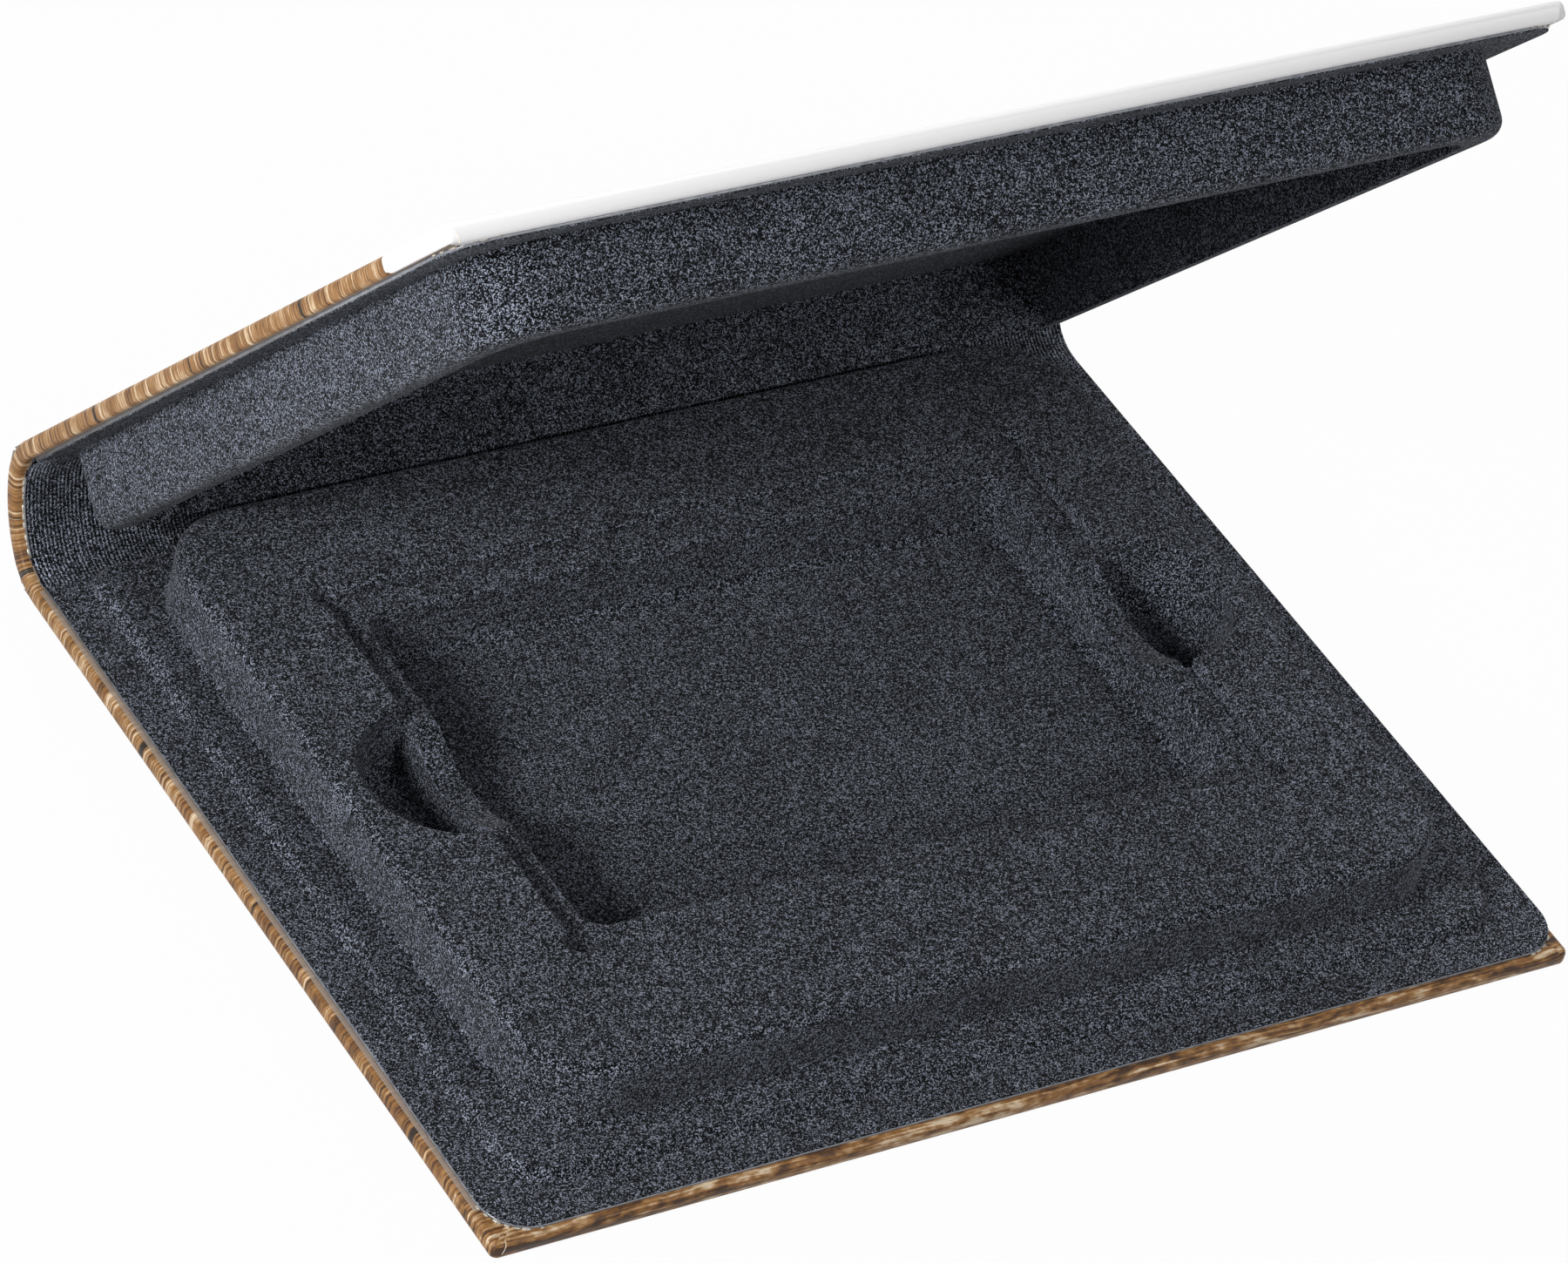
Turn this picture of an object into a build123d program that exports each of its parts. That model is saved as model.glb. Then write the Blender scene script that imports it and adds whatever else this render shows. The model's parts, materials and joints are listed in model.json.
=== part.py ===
"""Book-style presentation case for one card: wrapped boards, a bowed spine and a flocked, formed liner."""
from build123d import *
import math
import os

os.makedirs("parts", exist_ok=True)

# Millimetres. X runs along the folds, Y towards the spine and Z up from the surface that the case lies on.
# A panel's own frame has u from its fold edge towards the front and v from its outer face towards the liner.

# Covers
case_width = 131.0
board_depth = 102.4
closed_height = 15.65
cover_thickness = 2.0
paper = 0.2
turn_in = 12.0
corner_radius = 0.8
spine_bow = 2.2

# Folds
bead_radius = 0.3
bead_clearance = 0.05
layer_clearance = 0.02
lid_opening = 51.4

# Liner
sheet = 0.5
liner_shift = 0.5
side_margin = 0.55
base_front_margin = 0.9
lid_front_margin = 0.6
flange_radius = 5.0
root_radius = 0.4
lip_radius = 0.4

# Base tray, step
step_side = 4.4
step_height = 1.2
step_slope = 36.9
step_back = 2.3
step_front_margin = 5.2
step_front_radius = 5.4
step_back_radius = 3.6
step_edge = 0.6

# Base tray, plinth
plinth_side = 4.9
plinth_front = 10.1
plinth_back = 5.2
plinth_height = 8.5
plinth_radius = 9.0
plinth_edge = 1.2

# Base tray, pocket for the card
pocket_side = 12.45
pocket_depth = 54.7
pocket_from_plinth_back = 15.5
pocket_drop = 1.6
pocket_radius = 1.0
ear_radius = 1.6
ear_offset = 0.6
pocket_edge = 0.5

# Base tray, well under the card
ledge_side = 3.4
ledge_front = 3.0
ledge_back = 3.2
well_radius = 2.8
well_draft = 4.0
well_root = 1.0

# Base tray, finger notches
notch_radius = 9.4
notch_forward = 0.35
notch_floor = 0.5
notch_draft = 8.0
notch_root = 2.4
ridge_inset = 0.8
ridge_dip = 2.8
ridge_dip_width = 16.0

# Lid tray, rim
rim_depth = 8.7
rim_side = 4.05
rim_front_margin = 5.0
rim_back = 1.95
rim_clearance = 1.5
rim_swing_clearance = 1.6
rim_front_radius = 7.5
rim_back_radius = 3.4
rim_inner_front_radius = 6.5
rim_inner_back_radius = 3.0
rim_edge = 1.9

# How far a cutter runs past what it cuts
overcut = 1.0

half_width = case_width / 2
fold_gap = bead_radius + bead_clearance
flange_top = cover_thickness + sheet
step_top = flange_top + step_height
plinth_top = flange_top + plinth_height
ledge_level = plinth_top - pocket_drop
liner_width = case_width - 2 * side_margin
step_width = liner_width - 2 * step_side
plinth_width = step_width - 2 * plinth_side
pocket_width = plinth_width - 2 * pocket_side
plinth_depth = board_depth - plinth_front - plinth_back
liner_left = liner_shift - liner_width / 2
liner_right = liner_shift + liner_width / 2

# The bowed spine is a stack of layers round one axis, which lies on the case's inner side
bow_radius = (closed_height / 2) ** 2 / (2 * spine_bow) + spine_bow / 2
bow_end_angle = math.degrees(math.asin(closed_height / 2 / bow_radius))
bow_axis = (closed_height / 2, bow_radius - spine_bow)

# Each fold is mitred along the line that halves the angle between a board and the end of the spine
mitre_angle = math.radians((90 + bow_end_angle) / 2)
bead_u = bead_radius / math.tan(mitre_angle)
fold_turn = lid_opening / 2


def mitre_u(v):
    """Gives where a panel's mitred end lies at the height v above its outer face."""
    return fold_gap / math.sin(mitre_angle) + v / math.tan(mitre_angle)


def y_of(u):
    """Turns a distance from the base's fold edge into Y."""
    return board_depth / 2 - u


# Frames: the base lies flat, and the spine and lid are folded back from the closed case
base_frame = Plane(origin=(0, board_depth / 2, 0), x_dir=(-1, 0, 0), z_dir=(0, 0, 1)).location
spine_closed = Plane(origin=(0, board_depth / 2, 0), x_dir=(1, 0, 0), z_dir=(0, -1, 0)).location
lid_closed = Plane(origin=(0, board_depth / 2, closed_height), x_dir=(1, 0, 0), z_dir=(0, 0, -1)).location
base_axis = (0, y_of(bead_u), bead_radius)
lid_axis = (0, y_of(bead_u), closed_height - bead_radius)


def turned(axis, angle):
    """Gives the move that leans a piece back by an angle about an axis along X."""
    there = Pos(*axis)
    return there * Rot(-angle, 0, 0) * there.inverse()


spine_frame = turned(base_axis, fold_turn) * spine_closed
lid_frame = turned(base_axis, fold_turn) * turned(lid_axis, fold_turn) * lid_closed


def block(x, y, z):
    """Makes a box from its three pairs of limits."""
    size = [high - low for low, high in (x, y, z)]
    centre = [(high + low) / 2 for low, high in (x, y, z)]
    return Pos(*centre) * Box(*size)


def outline(x, y, low_radius, high_radius):
    """Makes a rectangle with one radius at its low-Y corners and another at its high-Y corners."""
    shape = Pos(sum(x) / 2, sum(y) / 2) * Rectangle(x[1] - x[0], y[1] - y[0])
    if low_radius:
        shape = fillet(shape.vertices().group_by(Axis.Y)[0], low_radius)
    if high_radius:
        shape = fillet(shape.vertices().group_by(Axis.Y)[-1], high_radius)
    return shape


def span(centre, width, grow=0.0):
    """Gives the limits of a width about a centre, let out by grow on each side."""
    return (centre - width / 2 - grow, centre + width / 2 + grow)


def rise(shape, low, high, draft=0.0):
    """Extrudes an outline from one height to another."""
    return extrude(Pos(0, 0, low) * shape, amount=high - low, taper=draft)


def sink(shape, high, low, draft, root):
    """Makes the cutter of a drafted recess, from its mouth down to its floor, with a rounded root."""
    cutter = extrude(Pos(0, 0, high) * shape, amount=low - high, dir=(0, 0, 1), taper=draft)
    return fillet(cutter.faces().sort_by(Axis.Z)[0].edges(), root)


# Covers: the same panel serves as base and lid

def panel_keep():
    """Makes the prism that gives a panel its mitred fold end, upright above the liner's flange."""
    top = closed_height
    front = board_depth + overcut
    corners = [(mitre_u(-overcut), -overcut), (front, -overcut), (front, top),
               (mitre_u(flange_top), top), (mitre_u(flange_top), flange_top)]
    return extrude(Plane.YZ * Polygon(*corners, align=None), amount=half_width + overcut, both=True)


def panel_slab(inset, low, high):
    """Makes a layer of a panel, set in from the outer edges, between two heights."""
    shape = outline((-half_width + inset, half_width - inset), (-overcut, board_depth - inset), 0,
                    max(corner_radius - inset, 0.0))
    return rise(shape, low, high) & panel_keep()


def panel_board():
    """Makes the greyboard inside a panel."""
    return panel_slab(paper, paper, cover_thickness - paper)


def panel_adhesive():
    """Makes the glue film that fills the window between the turned-in edges."""
    return panel_slab(turn_in, cover_thickness - paper, cover_thickness)


def panel_wrap():
    """Makes the paper round a panel: outer face, three edges and their turned-in strips."""
    return panel_slab(0, 0, cover_thickness) - panel_board() - panel_adhesive()


# Spine: layers of the bow, between the two mitres

def spine_layer(x, outer, inner):
    """Makes a layer of the bowed spine between two depths below its outer face."""
    s_centre, w_centre = bow_axis
    place = Pos(sum(x) / 2, s_centre, w_centre) * Rot(0, 90, 0)
    ring = Cylinder(bow_radius - outer, x[1] - x[0]) - Cylinder(bow_radius - inner, x[1] - x[0] + overcut)
    apex = (s_centre * math.cos(mitre_angle) - fold_gap) / math.sin(mitre_angle)
    foot = -2 * cover_thickness - spine_bow
    low = (fold_gap + foot * math.sin(mitre_angle)) / math.cos(mitre_angle)
    wedge = Polygon((low, foot), (closed_height - low, foot), (s_centre, apex), align=None)
    return (place * ring) & extrude(Plane.YZ * wedge, amount=case_width, both=True)


def spine_board():
    """Makes the greyboard strip of the spine."""
    inset = paper + layer_clearance
    return spine_layer((-half_width + inset, half_width - inset), inset, cover_thickness - inset)


def spine_adhesive():
    """Makes the glue film between the spine's board and its lining."""
    inset = turn_in + layer_clearance
    return spine_layer((-half_width + inset, half_width - inset), cover_thickness - paper,
                       cover_thickness - layer_clearance)


def spine_wrap():
    """Makes the paper of the spine: outer face, both ends and their turned-in strips."""
    whole = spine_layer((-half_width, half_width), 0, cover_thickness)
    hollow = spine_layer((-half_width + paper, half_width - paper), paper, cover_thickness - paper)
    window = spine_layer((-half_width + turn_in, half_width - turn_in), cover_thickness - paper - sheet,
                         cover_thickness + sheet)
    return whole - hollow - window


def spine_lining():
    """Makes the liner's flat web over the spine."""
    return spine_layer((liner_left, liner_right), cover_thickness + layer_clearance, cover_thickness + sheet)


def fold_bead(axis):
    """Makes the rounded turn of the wrap along a fold."""
    return Pos(*axis) * Rot(0, 90, 0) * Cylinder(bead_radius, case_width)


# Base tray

def flange(front, low_radius, high_radius):
    """Makes the liner's flat margin sheet, between two limits across the panel."""
    shape = outline((liner_left, liner_right), front, low_radius, high_radius)
    return rise(shape, cover_thickness, flange_top)


def edges_within(solid, height, x, y):
    """Picks the edges that lie at one height, with their middles inside two pairs of limits."""
    level = solid.edges().filter_by_position(Axis.Z, height - sheet / 10, height + sheet / 10)
    level = level.filter_by(lambda edge: abs(edge.bounding_box().size.Z) < sheet / 10)
    level = level.filter_by_position(Axis.X, x[0] - sheet, x[1] + sheet)
    return level.filter_by_position(Axis.Y, y[0] - sheet, y[1] + sheet)


def step_block(inset):
    """Makes the low step round the plinth, sloped outside, set in by the sheet for its hollow."""
    slope = math.radians(step_slope)
    grow = sheet * math.tan(slope) - inset / math.cos(slope)
    x = span(liner_shift, step_width, grow)
    y = (y_of(board_depth - step_front_margin + grow), y_of(step_back - grow))
    shape = outline(x, y, step_front_radius + grow, step_back_radius + grow)
    return rise(shape, cover_thickness, step_top - inset, step_slope)


def plinth_block(inset):
    """Makes the raised plinth with its rounded top edge, set in by the sheet for its hollow."""
    x = span(liner_shift, plinth_width, -inset)
    y = (y_of(plinth_back + plinth_depth) + inset, y_of(plinth_back) - inset)
    solid = rise(outline(x, y, plinth_radius - inset, plinth_radius - inset), cover_thickness, plinth_top - inset)
    return fillet(solid.faces().sort_by(Axis.Z)[-1].edges(), plinth_edge - inset)


pocket_x = span(liner_shift, pocket_width)
pocket_y = (y_of(plinth_back + pocket_from_plinth_back + pocket_depth), y_of(plinth_back + pocket_from_plinth_back))
well_x = (pocket_x[0] + ledge_side, pocket_x[1] - ledge_side)
well_y = (pocket_y[0] + ledge_front, pocket_y[1] - ledge_back)
notch_y = sum(pocket_y) / 2 - notch_forward


def pocket_cutter(inset):
    """Makes the shallow pocket down to its ledge, with an ear at each corner and a notch at each end."""
    grown = [(low - inset, high + inset) for low, high in (pocket_x, pocket_y)]
    shape = outline(grown[0], grown[1], pocket_radius + inset, pocket_radius + inset)
    for x, x_side in ((pocket_x[0], 1), (pocket_x[1], -1)):
        shape += Pos(x, notch_y) * Circle(notch_radius + inset)
        for y, y_side in ((pocket_y[0], 1), (pocket_y[1], -1)):
            shape += Pos(x + x_side * ear_offset, y + y_side * ear_offset) * Circle(ear_radius + inset)
    return rise(shape, ledge_level - inset, plinth_top + overcut)


def well_cutter(inset):
    """Makes the deep well inside the ledge."""
    x, y = ((low - inset, high + inset) for low, high in (well_x, well_y))
    shape = outline(x, y, well_radius + inset, well_radius + inset)
    return sink(shape, ledge_level, flange_top - inset, well_draft, well_root)


def notch_cutter(x, side, inset):
    """Makes the deep bowl of one finger notch, stopped at the ridge that parts it from the well."""
    reach = notch_radius + inset
    inner_edge = side * (ridge_inset + inset)
    shape = Pos(x, notch_y) * Circle(reach)
    shape &= Pos(x + inner_edge - side * reach, notch_y) * Rectangle(2 * reach, 3 * reach)
    return sink(shape, ledge_level, flange_top + notch_floor - inset, notch_draft, notch_root)


def ridge_cutter(x, side, inset):
    """Makes the dip in the top of the ridge between a notch and the well."""
    dip_radius = (ridge_dip_width ** 2 / 4 + ridge_dip ** 2) / (2 * ridge_dip)
    length = ledge_side - ridge_inset + 2 * sheet
    centre = (x + side * (ridge_inset + ledge_side) / 2, notch_y, ledge_level - ridge_dip + dip_radius)
    return Pos(*centre) * Rot(0, 90, 0) * Cylinder(dip_radius + inset, length)


def base_form(inset):
    """Makes what the base tray's sheet covers, set in by the sheet for its hollow."""
    solid = step_block(inset) + plinth_block(inset)
    solid = solid - pocket_cutter(inset) - well_cutter(inset)
    for x, side in ((pocket_x[0], 1), (pocket_x[1], -1)):
        solid = solid - notch_cutter(x, side, inset) - ridge_cutter(x, side, inset)
    return solid


def plinth_outline(grow):
    """Makes the plinth's outline, let out by grow on each side."""
    x = span(liner_shift, plinth_width, grow)
    y = (y_of(plinth_back + plinth_depth) - grow, y_of(plinth_back) + grow)
    return outline(x, y, plinth_radius + grow, plinth_radius + grow)


def softened_base_form():
    """Makes what the base tray's sheet covers, with every lip and root rounded."""
    solid = base_form(0)
    mouth_x = (pocket_x[0] - notch_radius, pocket_x[1] + notch_radius)
    mouth_y = (pocket_y[0] - ear_radius, pocket_y[1] + ear_radius)
    solid = fillet(edges_within(solid, plinth_top, mouth_x, mouth_y), pocket_edge)
    solid = fillet(edges_within(solid, ledge_level, well_x, well_y), lip_radius)
    across = span(liner_shift, plinth_width)
    along = (y_of(plinth_back + plinth_depth), y_of(plinth_back))
    solid = fillet(edges_within(solid, step_top, across, along), root_radius)
    outer_edges = edges_within(solid, step_top, span(liner_shift, step_width), (-board_depth / 2, board_depth / 2))
    grown = span(liner_shift, plinth_width, 2 * root_radius), (along[0] - 2 * root_radius, along[1] + 2 * root_radius)
    outer_edges = outer_edges - edges_within(solid, step_top, *grown)
    return fillet(outer_edges, step_edge)


def base_tray():
    """Makes the base half of the liner as one sheet of even thickness."""
    skirt = flange((y_of(board_depth - base_front_margin), y_of(mitre_u(flange_top))), flange_radius, 0)
    return skirt + softened_base_form() - base_form(sheet)


def base_margin():
    """Makes the part of the base tray round the plinth: flat margin and low step."""
    return base_tray() - rise(plinth_outline(root_radius), 0, plinth_top + overcut)


def base_plinth():
    """Makes the part of the base tray that stands up: plinth, pocket, well and notches."""
    return base_tray() & rise(plinth_outline(root_radius), 0, plinth_top + overcut)


# Lid tray

rim_outer_x = (liner_left + rim_side, liner_right - rim_side)
rim_outer_u = (rim_back, board_depth - rim_front_margin)
rim_inner_x = span(liner_shift, plinth_width, rim_clearance)
rim_inner_u = (plinth_back - rim_swing_clearance, plinth_back + plinth_depth + rim_clearance)


def rim_block(inset):
    """Makes the raised rim that drops over the plinth, set in by the sheet for its hollow."""
    top = flange_top + rim_depth - inset
    outer = [(low + inset, high - inset) for low, high in (rim_outer_x, rim_outer_u)]
    inner = [(low - inset, high + inset) for low, high in (rim_inner_x, rim_inner_u)]
    body = rise(outline(*outer, rim_back_radius - inset, rim_front_radius - inset), cover_thickness, top)
    body = fillet(body.faces().sort_by(Axis.Z)[-1].edges(), rim_edge - inset)
    inside = outline(*inner, rim_inner_back_radius + inset, rim_inner_front_radius + inset)
    return body - rise(inside, cover_thickness, top + overcut)


def lid_sheet():
    """Makes the flat stretches of the lid tray: the margin outside the rim and the floor inside it."""
    skirt = flange((mitre_u(flange_top), board_depth - lid_front_margin), 0, flange_radius)
    return skirt - rim_block(sheet)


def lid_margin():
    """Makes the lid tray's flat margin outside the rim."""
    return lid_sheet().solids().sort_by(SortBy.AREA)[0]


def lid_floor():
    """Makes the lid tray's flat floor inside the rim."""
    return lid_sheet().solids().sort_by(SortBy.AREA)[-1]


def lid_rim():
    """Makes the lid tray's hollow rim, from the margin's face to its rounded lower edge."""
    ridge = rim_block(0) - rim_block(sheet)
    return ridge & block((liner_left, liner_right), (0, board_depth), (flange_top, closed_height))


pieces = {
    "base_board": base_frame * panel_board(),
    "base_wrap": base_frame * panel_wrap(),
    "base_adhesive": base_frame * panel_adhesive(),
    "base_margin": base_margin(),
    "base_plinth": base_plinth(),
    "base_fold": fold_bead(base_axis),
    "spine_board": spine_frame * spine_board(),
    "spine_wrap": spine_frame * spine_wrap(),
    "spine_adhesive": spine_frame * spine_adhesive(),
    "spine_lining": spine_frame * spine_lining(),
    "lid_fold": turned(base_axis, fold_turn) * fold_bead(lid_axis),
    "lid_board": lid_frame * panel_board(),
    "lid_wrap": lid_frame * panel_wrap(),
    "lid_adhesive": lid_frame * panel_adhesive(),
    "lid_margin": lid_frame * lid_margin(),
    "lid_floor": lid_frame * lid_floor(),
    "lid_rim": lid_frame * lid_rim(),
}

for name, piece in pieces.items():
    export_step(piece, f"parts/{name}.step")

turned_lid_axis = turned(base_axis, fold_turn) * Pos(*lid_axis)
print("base fold axis", [round(value, 4) for value in base_axis])
print("lid fold axis", [round(value, 4) for value in turned_lid_axis.position])
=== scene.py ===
"""Looks of a book-style presentation case: printed paper covers, folded edges and a flocked, formed liner."""
import json
import logging
import math
import random
from dataclasses import dataclass
from enum import Enum
from itertools import accumulate
from typing import Dict, List, Optional, Sequence, Tuple

import bmesh
import bpy
from mathutils import Matrix, Vector

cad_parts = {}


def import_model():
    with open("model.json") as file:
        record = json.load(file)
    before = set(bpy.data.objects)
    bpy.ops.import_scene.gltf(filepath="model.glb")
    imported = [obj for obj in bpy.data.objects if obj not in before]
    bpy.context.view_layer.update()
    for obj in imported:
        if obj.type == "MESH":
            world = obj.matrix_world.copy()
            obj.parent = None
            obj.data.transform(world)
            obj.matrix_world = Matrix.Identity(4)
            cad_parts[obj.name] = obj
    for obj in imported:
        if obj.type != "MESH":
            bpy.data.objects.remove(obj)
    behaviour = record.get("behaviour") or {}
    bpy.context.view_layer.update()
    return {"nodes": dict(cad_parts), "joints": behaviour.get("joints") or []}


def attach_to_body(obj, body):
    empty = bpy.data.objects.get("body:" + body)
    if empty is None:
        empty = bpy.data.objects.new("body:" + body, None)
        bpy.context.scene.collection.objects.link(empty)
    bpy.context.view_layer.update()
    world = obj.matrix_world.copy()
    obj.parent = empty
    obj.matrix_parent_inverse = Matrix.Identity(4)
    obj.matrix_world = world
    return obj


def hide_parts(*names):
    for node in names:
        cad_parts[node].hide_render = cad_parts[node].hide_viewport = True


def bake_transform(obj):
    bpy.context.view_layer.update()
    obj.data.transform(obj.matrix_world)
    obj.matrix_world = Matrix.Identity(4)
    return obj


LOG = logging.getLogger("case")
MM = 0.001
TOUCH = 0.02 * MM  # a hair above or beside what a piece touches
FACING = 0.9  # a face looks a way when at least this much of its normal points there
QUARTER_TURN = tuple(math.radians(degrees) for degrees in (0, 30, 60, 90))
ACROSS = Vector((1.0, 0.0, 0.0))
WHITE = (1.0, 1.0, 1.0, 1.0)
SHADER = "Principled BSDF"
Triple = Tuple[float, float, float]
Colour = Triple
Point = Tuple[float, float]
Station = Tuple[Vector, Vector, float]
Shell = bmesh.types.BMesh
Piece = bpy.types.Object
Material = bpy.types.Material


class Slot(Enum):
    """The record's material slots."""

    WRAP = "printed_wrap"
    GLUE = "adhesive"
    LINER = "flocked_liner"


class Body(Enum):
    """The bodies that pieces ride on."""

    BASE = "base"
    SPINE = "spine"
    LID = "lid"


PANELS = (Body.BASE, Body.LID)


class Side(Enum):
    """The two ends of the case along its folds."""

    LEFT = -1
    RIGHT = 1


def srgb(*seen: int) -> Colour:
    """Turn red, green and blue as seen on screen, 0 to 255, into the linear values that a shader takes."""
    parts = [value / 255 for value in seen]
    return tuple(part / 12.92 if part <= 0.04045 else ((part + 0.055) / 1.055) ** 2.4 for part in parts)


class Nodes:
    """Builds one material's or world's node tree with short calls."""

    mix_colour_inputs = (6, 7)
    mix_colour_output = 2

    def __init__(self, owner: bpy.types.ID) -> None:
        """Open the node tree of a new material or world.

        Args:
            owner: The material or world.
        """
        owner.use_nodes = True
        self.owner = owner
        self.tree = owner.node_tree

    def add(self, kind: str, inputs: Optional[Dict[object, object]] = None,
            **settings: object) -> bpy.types.Node:
        """Add a node, set its properties and fill its inputs with values or other nodes' outputs.

        Args:
            kind: The node's type, without the ShaderNode that every type starts with.
            inputs: Values or output sockets by input name or number.
            settings: Properties of the node.

        Returns:
            The new node.
        """
        node = self.tree.nodes.new("ShaderNode" + kind)
        for key, value in settings.items():
            setattr(node, key, value)
        for key, value in (inputs or {}).items():
            self.feed(node.inputs[key], value)
        return node

    def feed(self, socket: bpy.types.NodeSocket, value: object) -> None:
        """Set a socket's value, or link another socket to it.

        Args:
            socket: The input to fill.
            value: A value, or an output socket.
        """
        if isinstance(value, bpy.types.NodeSocket):
            self.tree.links.new(value, socket)
        else:
            socket.default_value = value

    def math(self, operation: str, first: object, second: object = 0.0) -> object:
        """Add a Math node for two values or sockets and give its output."""
        return self.add("Math", {0: first, 1: second}, operation=operation).outputs[0]

    def mix(self, factor: object, first: object, second: object) -> object:
        """Mix two colours.

        Args:
            factor: Share of the second colour.
            first: First colour or socket.
            second: Second colour or socket.

        Returns:
            The mixed colour's socket.
        """
        node = self.add("Mix", {0: factor}, data_type="RGBA")
        for index, value in zip(self.mix_colour_inputs, (first, second)):
            self.feed(node.inputs[index], (*value, 1.0) if isinstance(value, tuple) else value)
        return node.outputs[self.mix_colour_output]

    def ramp(self, factor: object, stops: Sequence[Tuple[float, Colour]]) -> object:
        """Colour a value through a ramp.

        Args:
            factor: The value's socket.
            stops: Pairs of place and colour.

        Returns:
            The colour's socket.
        """
        node = self.add("ValToRGB", {"Fac": factor})
        ramp = node.color_ramp
        while len(ramp.elements) < len(stops):
            ramp.elements.new(1.0)
        for element, (place, colour) in zip(ramp.elements, stops):
            element.position = place
            element.color = (*colour, 1.0)
        return node.outputs["Color"]

    def noise(self, vector: object, scale: float, detail: float = 2.0, roughness: float = 0.5) -> object:
        """Add a noise texture and give its value.

        Args:
            vector: The coordinates' socket.
            scale: Features per unit of the coordinates.
            detail: Octaves of finer noise.
            roughness: Strength of the finer noise.

        Returns:
            The value's socket.
        """
        inputs = {"Vector": vector, "Scale": scale, "Detail": detail, "Roughness": roughness}
        return self.add("TexNoise", inputs).outputs["Fac"]

    def add_share(self, base: object, extra: object, share: object) -> object:
        """Add a share of a second value's swing about one half to a first value."""
        swing = self.math("SUBTRACT", extra, 0.5)
        return self.math("ADD", base, self.math("MULTIPLY", swing, share))

    def bump(self, height: object, strength: float, distance: float) -> object:
        """Add a bump, whose distance is in metres, and give its normal."""
        inputs = {"Height": height, "Strength": strength, "Distance": distance}
        return self.add("Bump", inputs).outputs["Normal"]

    def finish(self, node: str, values: Dict[str, object]) -> bpy.types.ID:
        """Fill the inputs of a node that the tree has had from the start.

        Args:
            node: The node's name.
            values: Plain values or output sockets by input name.

        Returns:
            The material or world.
        """
        for name, value in values.items():
            self.feed(self.tree.nodes[node].inputs[name], value)
        return self.owner


@dataclass(frozen=True)
class Flock:
    """Charcoal flock: short fibres on a thin plastic sheet, with pale fibre tips among dark gaps."""

    gap: Colour = srgb(3, 4, 5)
    fibre: Colour = srgb(28, 30, 36)
    tip: Colour = srgb(166, 173, 190)
    stops: Triple = (0.455, 0.53, 0.655)
    fine: float = 0.13 * MM
    fine_share: float = 0.6
    speck: float = 0.135 * MM
    speck_share: float = 0.25
    tuft: float = 0.416 * MM
    tuft_share: float = 0.14
    patch: float = 7 * MM
    patch_share: float = 0.05
    row: float = 0.45 * MM
    row_share: float = 0.08
    has_rows: bool = False
    relief: float = 0.16 * MM

    def material(self, name: str) -> Material:
        """Build the finish.

        Args:
            name: The material's name.

        Returns:
            The material.
        """
        nodes = Nodes(bpy.data.materials.new(name))
        place = nodes.add("TexCoord").outputs["Object"]
        cells = nodes.add("TexVoronoi", {"Vector": place, "Scale": 1 / self.speck})
        speck = nodes.add("SeparateColor", {"Color": cells.outputs["Color"]}).outputs["Red"]
        nap = nodes.add_share(0.5, nodes.noise(place, 1 / self.fine, 1.5, 0.55), self.fine_share)
        nap = nodes.add_share(nap, speck, self.speck_share)
        nap = nodes.add_share(nap, nodes.noise(place, 1 / self.tuft, 1.0), self.tuft_share)
        nap = nodes.add_share(nap, nodes.noise(place, 1 / self.patch, 2.0, 0.6), self.patch_share)
        if self.has_rows:
            across = nodes.add("SeparateXYZ", {"Vector": place}).outputs["X"]
            wave = nodes.math("SINE", nodes.math("MULTIPLY", across, 2 * math.pi / self.row))
            nap = nodes.math("ADD", nap, nodes.math("MULTIPLY", wave, self.row_share))
        colour = nodes.ramp(nap, tuple(zip(self.stops, (self.gap, self.fibre, self.tip))))
        return nodes.finish(SHADER, {
            "Base Color": colour, "Roughness": 0.96, "Specular IOR Level": 0.1, "Sheen Weight": 0.06,
            "Sheen Roughness": 0.5, "Normal": nodes.bump(nap, 0.8, self.relief)})


@dataclass(frozen=True)
class Grain:
    """One layer of wood grain: features per metre across and along the print, and how much it counts."""

    across: float
    along: float
    share: float = 1.0
    detail: float = 2.0
    roughness: float = 0.6


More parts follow.
